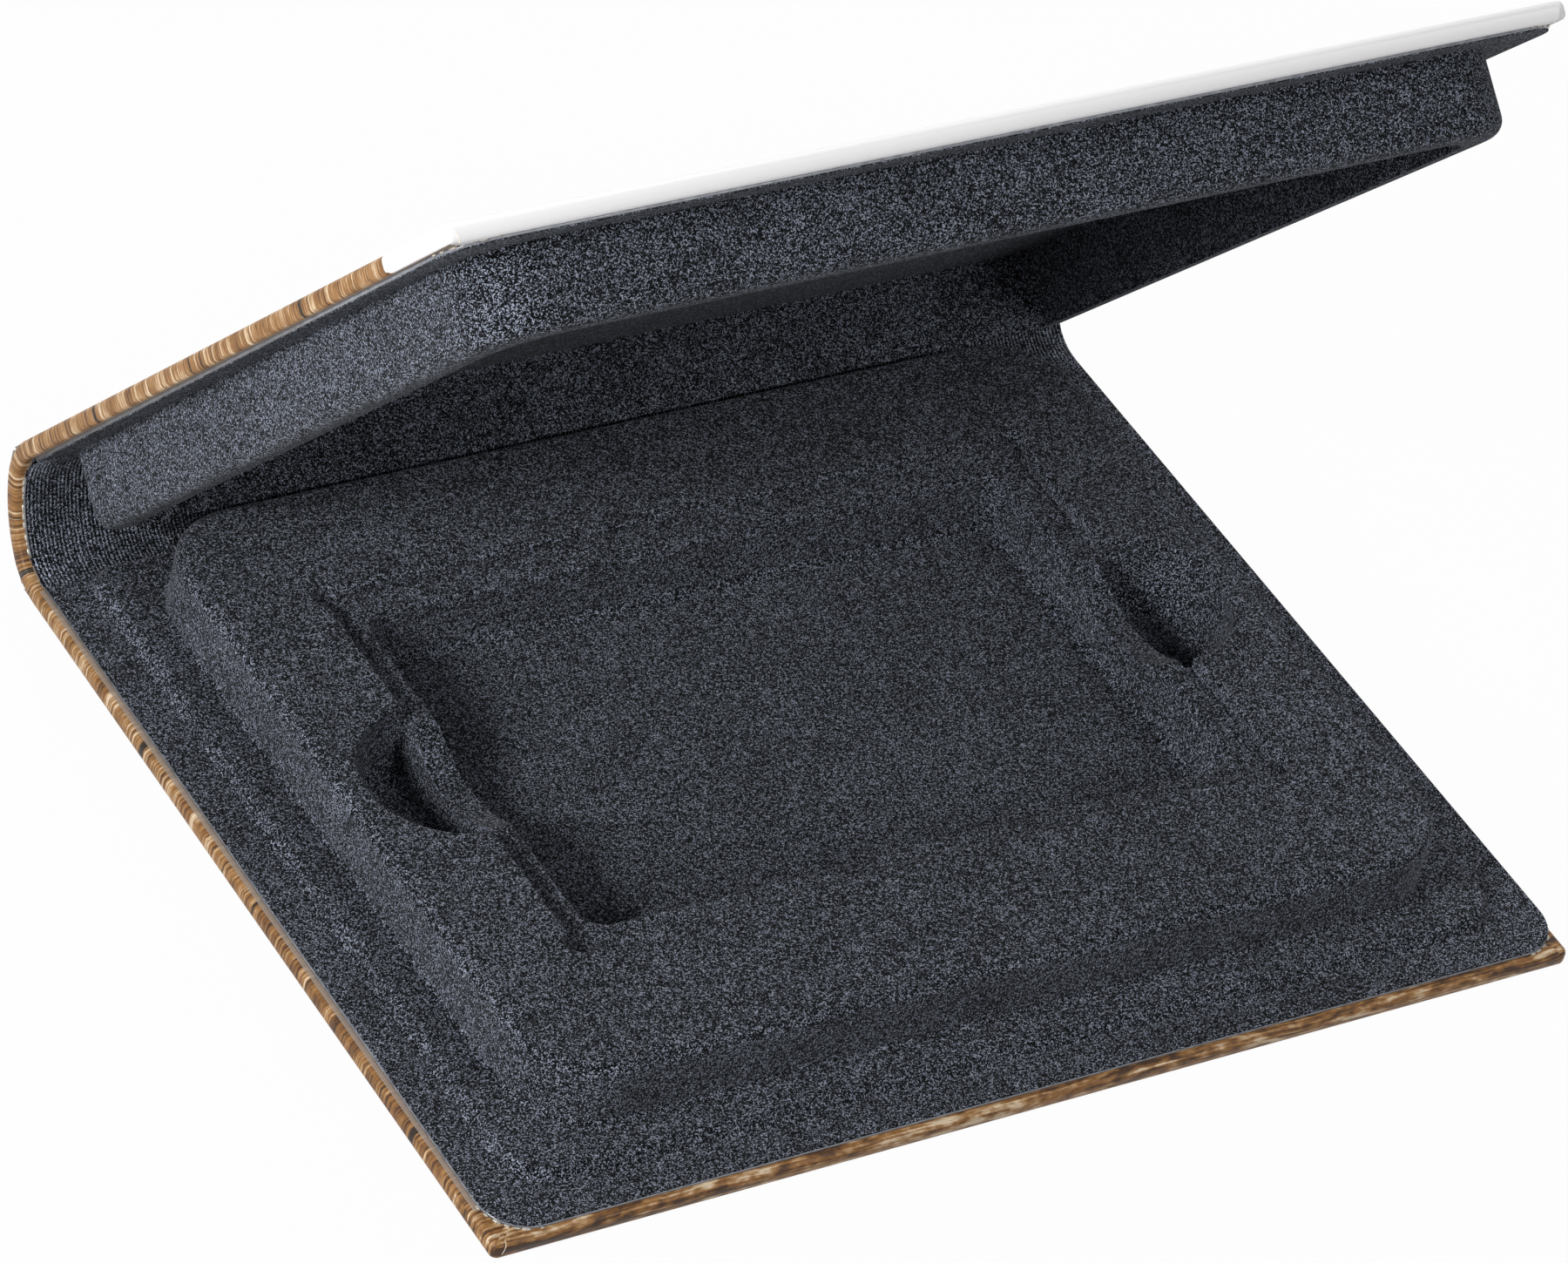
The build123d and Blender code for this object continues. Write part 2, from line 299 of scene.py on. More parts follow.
@dataclass(frozen=True)
class WoodPrint:
    """Laminated paper printed with planks whose grain runs along the folds, and a plain white front band."""

    sizes: "Sizes"
    cream: Colour = srgb(220, 198, 168)
    light: Colour = srgb(178, 142, 102)
    gold: Colour = srgb(150, 108, 62)
    tan: Colour = srgb(124, 86, 50)
    brown: Colour = srgb(66, 45, 30)
    joint: Colour = srgb(24, 22, 22)
    strip: Colour = srgb(160, 146, 134)
    white: Colour = srgb(250, 249, 250)
    stops: Tuple[float, ...] = (0.28, 0.42, 0.53, 0.63, 0.74)
    middle_tone: float = 0.52
    bands: Grain = Grain(14.0, 420.0, 0.65, roughness=0.55)
    streaks: Grain = Grain(60.0, 2600.0, 1.2)
    mottle: Grain = Grain(300.0, 700.0, 0.65, detail=3.0, roughness=0.65)
    pores: Grain = Grain(420.0, 5200.0, 0.4)
    flecks: Grain = Grain(420.0, 900.0)
    pores_above: float = 0.6
    plank_share: float = 0.1
    joint_share: float = 0.92
    strip_share: float = 0.8
    waver_length: float = 14 * MM
    waver: float = 1.6 * MM
    strip_setback: float = 0.45 * MM
    lap_gap: float = 5 * MM
    fleck_depth: float = 94 * MM
    white_from: float = 89 * MM
    white_radius: float = 1.2 * MM
    # How fast the base's print darkens towards its front: print that browns there, and partly painted shade
    # on the front edge, which faces away from the light
    shade_per_metre: float = 0.6
    relief: float = 0.03 * MM
    joints: Tuple[Point, ...] = (
        (-85.6 * MM, 0.45 * MM), (-52.0 * MM, 0.15 * MM), (-27.4 * MM, 0.45 * MM), (1.1 * MM, 0.45 * MM),
        (8.0 * MM, 0.1 * MM), (37.5 * MM, 0.3 * MM), (61.0 * MM, 0.15 * MM), (87.0 * MM, 0.3 * MM))

    @property
    def printed_to(self) -> float:
        """Give the distance across at which the clear print ends, just inside the cover's side edge."""
        return self.sizes.half + self.sizes.cover + self.strip_setback

    def wood(self, nodes: Nodes, print_map: object, across: object, along: object) -> Tuple[object, object]:
        """Lay out the planks.

        Args:
            nodes: The material's nodes.
            print_map: The print coordinates.
            across: The distance across the case.
            along: The distance round the spine.

        Returns:
            The colour and the height of the grain.
        """
        warped = nodes.add_share(along, nodes.noise(print_map, 1 / self.waver_length), self.waver)

        def layer(grain: Grain) -> object:
            """Give one layer's noise, stretched along the grain."""
            stretched = nodes.add("CombineXYZ", {
                "X": nodes.math("MULTIPLY", across, grain.across),
                "Y": nodes.math("MULTIPLY", warped, grain.along)})
            return nodes.noise(stretched.outputs["Vector"], 1.0, grain.detail, grain.roughness)

        index, line = 0.0, 0.0
        for place, half in self.joints:
            index = nodes.math("ADD", index, nodes.math("GREATER_THAN", along, place))
            near = nodes.math("ABSOLUTE", nodes.math("SUBTRACT", along, place))
            line = nodes.math("MAXIMUM", line, nodes.math("LESS_THAN", near, half))
        plank = nodes.add("TexWhiteNoise", {"W": index}, noise_dimensions="1D").outputs["Value"]
        streaks = layer(self.streaks)
        tone = nodes.add_share(self.middle_tone, layer(self.bands), self.bands.share)
        tone = nodes.add_share(tone, streaks, self.streaks.share)
        tone = nodes.add_share(tone, layer(self.mottle), self.mottle.share)
        tone = nodes.add_share(tone, plank, self.plank_share)
        # Darker towards the base's front: print that browns towards the front, and partly painted shade on
        # the front edge, which faces away from the light
        front_shade = nodes.math("MULTIPLY", nodes.math("MINIMUM", along, 0.0), self.shade_per_metre)
        tone = nodes.math("ADD", tone, front_shade)
        at_front = nodes.math("LESS_THAN", along, -self.fleck_depth)
        tone = nodes.add_share(tone, layer(self.flecks), at_front)
        colours = (self.brown, self.tan, self.gold, self.light, self.cream)
        colour = nodes.ramp(tone, tuple(zip(self.stops, colours)))
        dark = nodes.math("GREATER_THAN", layer(self.pores), self.pores_above)
        colour = nodes.mix(nodes.math("MULTIPLY", dark, self.pores.share), colour, self.brown)
        return nodes.mix(nodes.math("MULTIPLY", line, self.joint_share), colour, self.joint), streaks

    def is_white(self, nodes: Nodes, across: object, along: object) -> object:
        """Find the white front band, whose corners are rounded where it meets the turned-in paper.

        Args:
            nodes: The material's nodes.
            across: The distance across the case.
            along: The distance round the spine.

        Returns:
            The share of white.
        """
        start = self.sizes.spine_length + self.white_from
        size = nodes.math("ABSOLUTE", across)
        past = nodes.math("SUBTRACT", size, self.printed_to - self.white_radius)
        past = nodes.math("MAXIMUM", nodes.math("MULTIPLY", past, 1 / self.white_radius), 0.0)
        rest = nodes.math("SUBTRACT", 1.0, nodes.math("MULTIPLY", past, past))
        fall = nodes.math("SQRT", nodes.math("MAXIMUM", rest, 0.0))
        shift = nodes.math("MULTIPLY", nodes.math("SUBTRACT", 1.0, fall), self.white_radius)
        inside = nodes.math("GREATER_THAN", along, nodes.math("ADD", shift, start))
        return nodes.math("MULTIPLY", inside, nodes.math("LESS_THAN", size, self.printed_to))

    def material(self, name: str) -> Material:
        """Build the finish from the piece's unfolded print coordinates, in metres.

        Args:
            name: The material's name.

        Returns:
            The material.
        """
        nodes = Nodes(bpy.data.materials.new(name))
        print_map = nodes.add("UVMap", uv_map="print").outputs["UV"]
        parts = nodes.add("SeparateXYZ", {"Vector": print_map})
        across, along = parts.outputs["X"], parts.outputs["Y"]
        colour, streaks = self.wood(nodes, print_map, across, along)
        turned = nodes.math("GREATER_THAN", nodes.math("ABSOLUTE", across), self.printed_to)
        behind_lap = nodes.math("GREATER_THAN", along, self.lap_gap - self.sizes.depth)
        turned = nodes.math("MULTIPLY", turned, behind_lap)
        colour = nodes.mix(nodes.math("MULTIPLY", turned, self.strip_share), colour, self.strip)
        colour = nodes.mix(self.is_white(nodes, across, along), colour, self.white)
        return nodes.finish(SHADER, {
            "Base Color": colour, "Roughness": 0.45, "Specular IOR Level": 0.22, "Coat Weight": 0.08,
            "Coat Roughness": 0.3, "Normal": nodes.bump(streaks, 0.25, self.relief)})


@dataclass(frozen=True)
class Plain:
    """A finish with one main colour, broken up by fine noise and a slight bump."""

    colour: Colour
    shade: Colour
    grain: float
    roughness: float
    coat: float = 0.0
    shade_to: float = 0.35
    colour_from: float = 0.65
    relief: float = 0.02 * MM

    def material(self, name: str) -> Material:
        """Build the finish.

        Args:
            name: The material's name.

        Returns:
            The material.
        """
        nodes = Nodes(bpy.data.materials.new(name))
        place = nodes.add("TexCoord").outputs["Object"]
        fine = nodes.noise(place, 1 / self.grain, 3.0, 0.6)
        colour = nodes.ramp(fine, ((self.shade_to, self.shade), (self.colour_from, self.colour)))
        return nodes.finish(SHADER, {
            "Base Color": colour, "Roughness": self.roughness, "Coat Weight": self.coat,
            "Normal": nodes.bump(fine, 0.5, self.relief)})


@dataclass(frozen=True)
class Sizes:
    """Sizes of the case that its dressed pieces share, in metres."""

    width: float = 131.0 * MM
    depth: float = 102.4 * MM
    closed_height: float = 15.65 * MM
    cover: float = 2.0 * MM
    paper: float = 0.2 * MM
    turn_in: float = 12.0 * MM
    corner: float = 0.8 * MM
    soft_edge: float = 0.6 * MM
    bow: float = 2.2 * MM
    bead: float = 0.3 * MM
    sheet: float = 0.5 * MM
    side_margin: float = 0.55 * MM
    base_front_margin: float = 0.9 * MM
    lid_front_margin: float = 0.6 * MM
    flange_radius: float = 5.0 * MM
    liner_shift: float = 0.5 * MM
    fold_reach: float = 3.0 * MM
    opening: float = math.radians(51.4)

    @property
    def half(self) -> float:
        """Give half the case's width."""
        return self.width / 2

    @property
    def liner_half(self) -> float:
        """Give half the liner's width."""
        return self.half - self.side_margin

    @property
    def bow_radius(self) -> float:
        """Give the radius of the spine's outer face."""
        return (self.closed_height / 2) ** 2 / (2 * self.bow) + self.bow / 2

    @property
    def bow_half_angle(self) -> float:
        """Give half the angle that the spine's bow spans."""
        return math.asin(self.closed_height / 2 / self.bow_radius)

    @property
    def spine_length(self) -> float:
        """Give the length of the spine's outer face along its bow."""
        return 2 * self.bow_half_angle * self.bow_radius

    @property
    def spine_span(self) -> float:
        """Give the length of the spine's outer face between its folds."""
        return self.spine_length - 2 * self.fold_reach

    @property
    def bead_u(self) -> float:
        """Give the distance from a cover's fold edge to its fold axis."""
        return self.bead / math.tan((math.pi / 2 + self.bow_half_angle) / 2)

    def front_margin(self, body: Body) -> float:
        """Give the distance from a panel's front edge to its liner."""
        return self.base_front_margin if body is Body.BASE else self.lid_front_margin

    def print_along(self, body: Body, u: float) -> float:
        """Give the print's distance along at a distance from a panel's fold edge."""
        return -u if body is Body.BASE else self.spine_length + u


class Layout:
    """Places of the three covers in the frame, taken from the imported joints."""

    def __init__(self, sizes: Sizes, joints: List[dict]) -> None:
        """Work out each cover's own directions and fold edge.

        Args:
            sizes: The case's sizes.
            joints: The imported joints.
        """
        self.sizes = sizes
        axes = {joint["name"]: Vector(joint["pos_m"]) for joint in joints}
        opening, lean = sizes.opening, sizes.opening / 2
        self.spine_s = Vector((0.0, math.sin(lean), math.cos(lean)))
        self.spine_w = Vector((0.0, -math.cos(lean), math.sin(lean)))
        self.spine_edge = axes["spine_hinge"] - self.spine_s * sizes.bead - self.spine_w * sizes.bead_u
        base_u, base_v = Vector((0.0, -1.0, 0.0)), Vector((0.0, 0.0, 1.0))
        lid_u = Vector((0.0, -math.cos(opening), math.sin(opening)))
        lid_v = Vector((0.0, -math.sin(opening), -math.cos(opening)))
        lid_edge = axes["lid_hinge"] - lid_u * sizes.bead_u - lid_v * sizes.bead
        self.panels = {
            Body.BASE: (base_u, base_v, Vector((0.0, sizes.depth / 2, 0.0))),
            Body.LID: (lid_u, lid_v, lid_edge)}

    def matrix(self, body: Body) -> Matrix:
        """Give the matrix from a panel's own x, u, v to the frame."""
        u_way, v_way, edge = self.panels[body]
        return Matrix.Translation(edge) @ Matrix((ACROSS, u_way, v_way)).transposed().to_4x4()

    def spine_station(self, length: float) -> Station:
        """Give a place on the spine's outer face.

        Args:
            length: Distance along the bow from the base fold.

        Returns:
            The place, the direction into the case and the print's distance along.
        """
        angle = length / self.sizes.bow_radius - self.sizes.bow_half_angle
        centre = self.spine_edge + self.spine_s * (self.sizes.closed_height / 2)
        centre = centre + self.spine_w * (self.sizes.bow_radius - self.sizes.bow)
        outward = self.spine_s * math.sin(angle) - self.spine_w * math.cos(angle)
        return centre + outward * self.sizes.bow_radius, -outward, length

    def panel_station(self, body: Body, u: float) -> Station:
        """Give a place on a panel's outer face, at a distance from its fold edge."""
        u_way, v_way, edge = self.panels[body]
        return edge + u_way * u, v_way, self.sizes.print_along(body, u)

    def spine_path(self, steps: int = 12) -> List[Station]:
        """Give the stations of the spine between its folds, base fold first."""
        reach, span = self.sizes.fold_reach, self.sizes.spine_span
        return [self.spine_station(reach + span * index / steps) for index in range(steps + 1)]

    def fold_path(self, body: Body, steps: int = 10) -> List[Station]:
        """Give the stations of a fold, rounded between the panel and the spine.

        Args:
            body: The panel that the fold joins to the spine.
            steps: Number of spans.

        Returns:
            The stations, panel first.
        """
        reach = self.sizes.fold_reach
        start = self.panel_station(body, reach)
        end = self.spine_station(reach if body is Body.BASE else self.sizes.spine_length - reach)
        corner = self.panels[body][2]
        stations = []
        for index in range(steps + 1):
            t = index / steps
            place = start[0] * (1 - t) ** 2 + corner * (2 * t * (1 - t)) + end[0] * t ** 2
            inward = (start[1] * (1 - t) + end[1] * t).normalized()
            stations.append((place, inward, start[2] * (1 - t) + end[2] * t))
        return stations


def link_object(name: str, data: bpy.types.ID) -> Piece:
    """Put new data into the scene.

    Args:
        name: The object's name.
        data: Its mesh, camera or lamp.

    Returns:
        The object.
    """
    item = bpy.data.objects.new(name, data)
    bpy.context.scene.collection.objects.link(item)
    return item


def finish_mesh(mesh: Shell, name: str, material: Material, sharp: float = 180.0,
                smooth: bool = True) -> Piece:
    """Turn a finished bmesh into an object with one material.

    Args:
        mesh: The bmesh, freed here.
        name: The object's name.
        material: Its material.
        sharp: Edges sharper than this many degrees stay sharp.
        smooth: Whether its faces are shaded smooth.

    Returns:
        The object.
    """
    mesh.normal_update()
    for edge in mesh.edges:
        edge.smooth = edge.calc_face_angle(0.0) < math.radians(sharp)
    for face in mesh.faces:
        face.smooth = smooth
    data = bpy.data.meshes.new(name)
    mesh.to_mesh(data)
    mesh.free()
    data.materials.append(material)
    return link_object(name, data)


def attach(item: Piece, body: Body, node: str = "",
           fold: Sequence[Station] = ()) -> Piece:
    """Let a piece ride on a body, or bake a piece over a fold into the frame, and hide the CAD node that it
    stands for.

    Args:
        item: The piece.
        body: The body, or the panel that the fold joins to the spine.
        node: The CAD node that the piece stands for, if any.
        fold: The fold's stations, panel first, for a piece over a fold.

    Returns:
        The piece.
    """
    if fold:
        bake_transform(item)
    else:
        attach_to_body(item, body.value)
    if node:
        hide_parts(node)
    return item


def bevel(mesh: Shell, geometry: Sequence[object], radius: float, segments: int,
          affect: str = "EDGES") -> None:
    """Round some edges or corners of a mesh."""
    bmesh.ops.bevel(mesh, geom=geometry, offset=radius, affect=affect, segments=segments,
                    profile=0.5, material=-1)


def place_sheet(mesh: Shell, layout: Layout, body: Body) -> None:
    """Move a mesh from a panel's own x, u, v to the frame, with its faces pointing as before.

    Args:
        mesh: The mesh.
        layout: The covers' places.
        body: The base or the lid.
    """
    matrix = layout.matrix(body)
    bmesh.ops.transform(mesh, matrix=matrix, verts=mesh.verts)
    if matrix.determinant() < 0:
        bmesh.ops.reverse_faces(mesh, faces=mesh.faces)


def paint(item: Piece, material: Material) -> None:
    """Put one material in every slot of a node.

    Args:
        item: The node's object.
        material: The finish.
    """
    if not item.material_slots:
        item.data.materials.append(material)
    for slot in item.material_slots:
        slot.material = material


def running_lengths(points: Sequence[Point]) -> List[float]:
    """Give each point's distance along a line of points."""
    return [0.0, *accumulate(math.dist(start, end) for start, end in zip(points, points[1:]))]


def sweep_strip(section: List[Point], across: List[float], path: List[Station],
                thickness: float) -> Shell:
    """Extrude an open cross-section along a path and give the sheet its thickness.

    Args:
        section: Places across the case and depths below the path.
        across: The print's distance across at each of them.
        path: The stations.
        thickness: The sheet's thickness, added towards the case's inner side, or outwards below 0.

    Returns:
        The closed shell, with print coordinates.
    """
    mesh = bmesh.new()
    u_layer = mesh.verts.layers.float.new("across")
    v_layer = mesh.verts.layers.float.new("along")

    row = [mesh.verts.new((x, 0.0, depth)) for x, depth in section]
    for vertex, distance in zip(row, across):
        vertex[u_layer] = distance
    edges = [mesh.edges.new(pair) for pair in zip(row, row[1:])]
    for index, (place, inward, along) in enumerate(path):
        if index:
            made = bmesh.ops.extrude_edge_only(mesh, edges=edges)["geom"]
            edges = [item for item in made if isinstance(item, bmesh.types.BMEdge)]
            ends = {vertex for edge in edges for vertex in edge.verts}
            row = sorted(ends, key=lambda vertex: vertex[u_layer])
        for vertex, (x, depth) in zip(row, section):
            vertex.co = place + inward * depth + ACROSS * x
            vertex[v_layer] = along
    layer = mesh.loops.layers.uv.new("print")
    for face in mesh.faces:
        for loop in face.loops:
            loop[layer].uv = (loop.vert[u_layer], loop.vert[v_layer])
    bmesh.ops.recalc_face_normals(mesh, faces=mesh.faces)
    middle = min(mesh.faces, key=lambda face: abs(face.calc_center_median().x) + face.calc_center_median().z)
    if middle.normal.dot(path[0][1]) > 0:
        bmesh.ops.reverse_faces(mesh, faces=mesh.faces)
    bmesh.ops.solidify(mesh, geom=list(mesh.faces), thickness=thickness)
    return mesh


def sweep_bar(section: List[Point], path: List[Station]) -> Shell:
    """Sweep a small closed cross-section along a path and close both ends.

    Args:
        section: Places across the case and depths below the path, in order round the bar.
        path: The stations.

    Returns:
        The closed bar.
    """
    mesh = bmesh.new()
    place, inward, _ = path[0]
    ring = [mesh.verts.new(place + inward * depth + ACROSS * x) for x, depth in section]
    face = mesh.faces.new(ring)
    for (old, old_inward, _), (new, new_inward, _) in zip(path, path[1:]):
        face = bmesh.ops.extrude_discrete_faces(mesh, faces=[face])["faces"][0]
        for vertex in face.verts:
            depth = (vertex.co - old).dot(old_inward)
            vertex.co = new + new_inward * depth + ACROSS * vertex.co.x
    bmesh.ops.remove_doubles(mesh, verts=mesh.verts, dist=0.001 * MM)
    bmesh.ops.recalc_face_normals(mesh, faces=mesh.faces)
    return mesh


class Finishes:
    """The case's materials, built once."""

    def __init__(self, sizes: Sizes) -> None:
        """Build every finish.

        Args:
            sizes: The case's sizes.
        """
        self.flock = Flock().material("flock")
        self.rowed_flock = Flock(has_rows=True).material("flock_over_spine")
        self.wood = WoodPrint(sizes).material("wood_print")
        core = Plain(srgb(226, 214, 196), srgb(196, 180, 158), 0.5 * MM, 0.7)
        self.paper_core = core.material("paper_core")
        self.board = Plain(srgb(150, 144, 134), srgb(118, 112, 104), 0.6 * MM, 0.9).material("greyboard")
        glue = Plain(srgb(206, 202, 192), srgb(176, 172, 162), 0.8 * MM, 0.3, coat=0.4)
        self.glue = glue.material("dried_glue")
        clear_glue = Plain(srgb(196, 190, 178), srgb(150, 142, 130), 0.5 * MM, 0.08, coat=1.0)
        self.clear_glue = clear_glue.material("clear_glue")
        sheet_edge = Plain(srgb(134, 137, 144), srgb(98, 101, 108), 1.2 * MM, 0.28, coat=0.5)
        self.sheet_edge = sheet_edge.material("cut_sheet_edge")


@dataclass
class Maker:
    """What the maker of every sub-assembly has."""

    sizes: Sizes
    layout: Layout
    finishes: Finishes


@dataclass
class Cover(Maker):
    """The printed paper round one board: the base's or the lid's."""

    body: Body
    lap_thickness: float = 0.1 * MM
    lap_reach: float = 6.0 * MM
    lap_setback: float = 0.7 * MM
    lap_from: float = 0.6 * MM
    lap_clear_from: float = 1.0 * MM
    sharp_angle: float = 35.0
    lap_lean: float = 0.35
    lap_slant: float = 0.9
    lap_end: float = 0.9
    core_facing: float = 0.6

    def upper_faces(self, mesh: Shell) -> List[bmesh.types.BMFace]:
        """Give the flat faces on the side of the turned-in strips."""
        level = self.sizes.cover - 0.01 * MM
        return [face for face in mesh.faces
                if face.normal.z > FACING and face.calc_center_median().z > level]

    def map_print(self, mesh: Shell) -> None:
        """Unfold the print over the panel, while its vertices are in its own x, u, v.

        Args:
            mesh: The panel.
        """
        sizes, layer = self.sizes, mesh.loops.layers.uv.new("print")
        for face in mesh.faces:
            normal, middle = face.normal, face.calc_center_median()
            is_side_strip = sizes.half - abs(middle.x) < sizes.depth - middle.y
            for loop in face.loops:
                x, u, v = loop.vert.co
                side = math.copysign(1.0, x)
                across, along = x, u
                if normal.z > 0.5 and is_side_strip:
                    across = side * (sizes.width + sizes.cover - abs(x))
                elif normal.z > 0.5:
                    along = 2 * sizes.depth + sizes.cover - u
                elif abs(normal.x) > max(abs(normal.y), abs(normal.z)):
                    across = side * (sizes.half + v)
                elif abs(normal.y) > abs(normal.z):
                    along = sizes.depth + v
                loop[layer].uv = (across, sizes.print_along(self.body, along))

    def paper(self) -> Piece:
        """Make the paper: outer face, three edges and turned-in strips, open towards the fold.

        Returns:
            The piece.
        """
        sizes, start = self.sizes, self.sizes.fold_reach
        mesh = bmesh.new()
        bmesh.ops.create_cube(mesh, size=1.0)
        bmesh.ops.scale(mesh, vec=(sizes.width, sizes.depth - start, sizes.cover), verts=mesh.verts)
        bmesh.ops.translate(mesh, vec=(0.0, (sizes.depth + start) / 2, sizes.cover / 2), verts=mesh.verts)

        def is_upright(edge: bmesh.types.BMEdge) -> bool:
            """Tell a corner's edge from those round the outer face and round the strips."""
            return abs(edge.verts[0].co.z - edge.verts[1].co.z) > sizes.cover / 2

        def is_at_fold(edge: bmesh.types.BMEdge) -> bool:
            """Tell whether an edge lies in the open end at the fold."""
            return all(vertex.co.y < start + TOUCH for vertex in edge.verts)

        corners = [edge for edge in mesh.edges if is_upright(edge) and not is_at_fold(edge)]
        bevel(mesh, corners, sizes.corner, 4)
        rims = [edge for edge in mesh.edges if not is_upright(edge) and not is_at_fold(edge)]
        bevel(mesh, rims, sizes.soft_edge, 3)
        back = [face for face in mesh.faces if face.normal.y < -FACING]
        bmesh.ops.delete(mesh, geom=back, context="FACES")
        side, front = sizes.half - sizes.turn_in, sizes.depth - sizes.turn_in
        cuts = [((side, 0, 0), (1, 0, 0)), ((-side, 0, 0), (1, 0, 0)), ((0, front, 0), (0, 1, 0)),
                ((sizes.half, sizes.depth, 0), (1, -1, 0)), ((-sizes.half, sizes.depth, 0), (1, 1, 0))]
        for place, normal in cuts:
            faces = self.upper_faces(mesh)
            geometry = {*faces, *(edge for face in faces for edge in face.edges),
                        *(vertex for face in faces for vertex in face.verts)}
            bmesh.ops.bisect_plane(mesh, geom=list(geometry), plane_co=place, plane_no=normal)
        window = [face for face in self.upper_faces(mesh)
                  if abs(face.calc_center_median().x) < side and face.calc_center_median().y < front]
        bmesh.ops.delete(mesh, geom=window, context="FACES")
        bmesh.ops.recalc_face_normals(mesh, faces=mesh.faces)
        self.map_print(mesh)
        place_sheet(mesh, self.layout, self.body)
        bmesh.ops.solidify(mesh, geom=list(mesh.faces), thickness=sizes.paper)
        item = finish_mesh(mesh, f"{self.body.value}_cover_paper", self.finishes.wood, self.sharp_angle)
        return attach(item, self.body, f"{self.body.value}_wrap")

    def front_lap(self) -> Piece:
        """Make the front's turned-in paper, which laps over the side papers and slants near each corner.

        Returns:
            The piece.
        """
        sizes, proud = self.sizes, self.lap_thickness
        soft, depth, reach = sizes.soft_edge, sizes.depth, sizes.soft_edge + proud
        turns = [0.0, 0.0, *QUARTER_TURN, math.pi / 2]
        places = [(depth - TOUCH, self.lap_from), (depth + proud, self.lap_clear_from)]
        places += [(depth - soft + reach * math.cos(turn), sizes.cover - soft + reach * math.sin(turn))
                   for turn in QUARTER_TURN]
        places.append((depth - self.lap_reach, sizes.cover + proud))
        path = []
        for (u, v), turn, run in zip(places, turns, running_lengths(places)):
            inward = Vector((0.0, -math.cos(turn), -math.sin(turn)))
            along = sizes.print_along(self.body, depth + self.lap_from + run)
            path.append((Vector((0.0, u, v)), inward, along))
        end = sizes.half - self.lap_setback
        xs = [end * share for share in (-1.0, -0.5, 0.0, 0.5, 1.0)]
        mesh = sweep_strip([(x, 0.0) for x in xs], xs, path, proud)
        for vertex in mesh.verts:
            if abs(vertex.co.x) > self.lap_end * end:
                slant = self.lap_lean * vertex.co.z + self.lap_slant * max(0.0, depth - soft - vertex.co.y)
                vertex.co.x -= math.copysign(slant, vertex.co.x)
        place_sheet(mesh, self.layout, self.body)
        item = finish_mesh(mesh, f"{self.body.value}_front_lap", self.finishes.wood, self.sharp_angle)
        item.data.materials.append(self.finishes.paper_core)
        for face in item.data.polygons:
            face.material_index = int(abs(face.normal.x) > self.core_facing)
        return attach(item, self.body)

    def dress(self) -> List[Piece]:
        """Make every piece of the cover."""
        return [self.paper(), self.front_lap()]


@dataclass
class Spine(Maker):
    """The printed paper of the spine and of the two folds beside it."""

    sharp_angle: float = 50.0

    def section(self) -> List[Point]:
        """Lay out the paper's cross-section: outer face, ends and turned-in strips.

        Returns:
            Places across the case and depths below the outer face.
        """
        half, cover, soft = self.sizes.half, self.sizes.cover, self.sizes.soft_edge
        top = [(half - soft * (1 - math.sin(turn)), cover - soft * (1 - math.cos(turn)))
               for turn in QUARTER_TURN]
        low = [(x, cover - depth) for x, depth in reversed(top)]
        side = [(half - self.sizes.turn_in, cover), *top, *low]
        return [(-x, depth) for x, depth in side] + [(x, depth) for x, depth in reversed(side)]

    def wrap(self, path: List[Station], name: str) -> Piece:
        """Make the folded paper along a path.

        Args:
            path: The stations.
            name: The piece's name.

        Returns:
            The piece.
        """
        section = self.section()
        across = running_lengths(section)
        middle = across[-1] / 2
        mesh = sweep_strip(section, [distance - middle for distance in across], path, self.sizes.paper)
        return finish_mesh(mesh, name, self.finishes.wood, self.sharp_angle)

    def paper(self) -> Piece:
        """Make the paper round the spine's board."""
        item = self.wrap(self.layout.spine_path(), "spine_cover_paper")
        return attach(item, Body.SPINE, "spine_wrap")

    def fold(self, body: Body) -> Piece:
        """Make the paper over the fold between a panel and the spine."""
        path, name = self.layout.fold_path(body), f"{body.value}_fold"
        return attach(self.wrap(path, f"{name}_paper"), body, name, path)

    def dress(self) -> List[Piece]:
        """Make every piece of the spine."""
        return [self.paper(), *(self.fold(body) for body in PANELS)]


